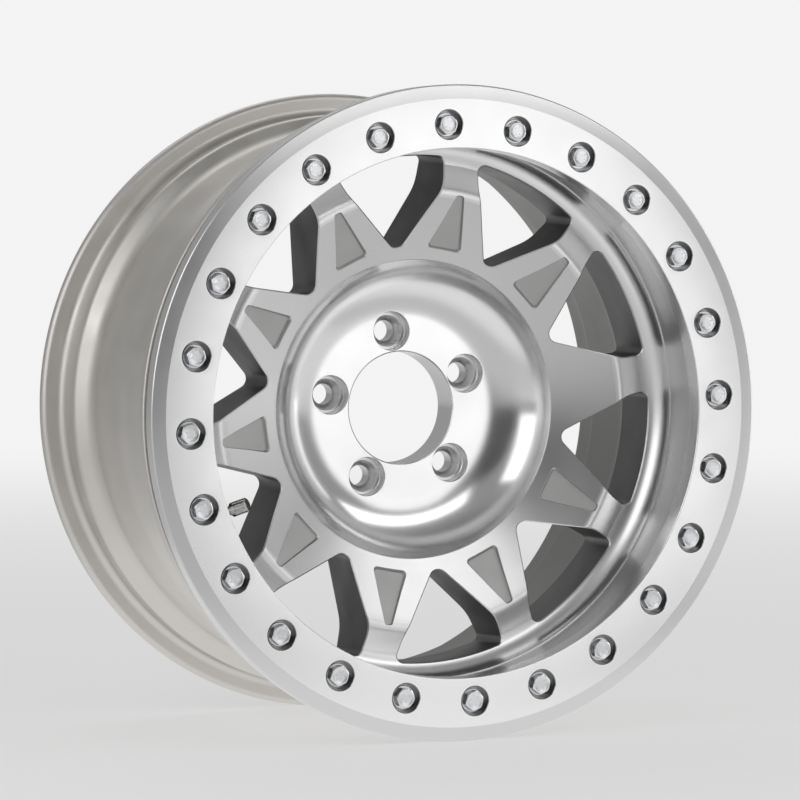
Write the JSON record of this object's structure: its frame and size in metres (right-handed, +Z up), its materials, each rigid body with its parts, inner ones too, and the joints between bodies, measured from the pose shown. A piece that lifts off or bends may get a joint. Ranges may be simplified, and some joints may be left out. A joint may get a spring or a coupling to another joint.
{
  "type": "car wheel",
  "caption": "Off-road alloy car wheel with triangulated spokes, a deep hub bowl and a bolt-on bead clamp ring, shown without its tyre.",
  "frame": {"origin": "centre of the lug circle on the hub mounting face", "axes": "+Y along the wheel's axis, inboard; the outboard face looks along -Y; +Z up"},
  "size_m": [0.47, 0.2511, 0.47],
  "materials": {
    "cast_alloy": "machined and clear-coated cast alloy, with blasted pockets",
    "ring_alloy": "turned bright alloy",
    "zinc_bolt": "bright zinc plate",
    "zinc_washer": "bright zinc plate",
    "stem_metal": "nickel plate",
    "seal_rubber": "matt black rubber",
    "core_brass": "turned brass",
    "spring_steel": "drawn wire"
  },
  "bodies": {
    "wheel_body": {"wheel": "cast_alloy", "clamp_ring": "ring_alloy", "ring_bolts": "zinc_bolt", "ring_washers": "zinc_washer", "valve_stem": "stem_metal", "valve_grommet": "seal_rubber", "valve_washer": "stem_metal", "valve_nut": "stem_metal", "valve_cap": "stem_metal", "cap_gasket": "seal_rubber", "valve_core": "core_brass", "core_gasket": "seal_rubber", "core_spring": "spring_steel"},
    "pin_body": {"valve_pin": "core_brass", "poppet_seal": "seal_rubber"}
  },
  "joints": [
    {"name": "valve_pin_press", "type": "slide", "parent": "wheel_body", "child": "pin_body", "axis": [-0.6897, 0.6428, -0.3334], "range_m": [0, 0.0012], "stiffness_N_per_m": 300, "springref_m": -0.001, "deforming": ["core_spring"]}
  ]
}
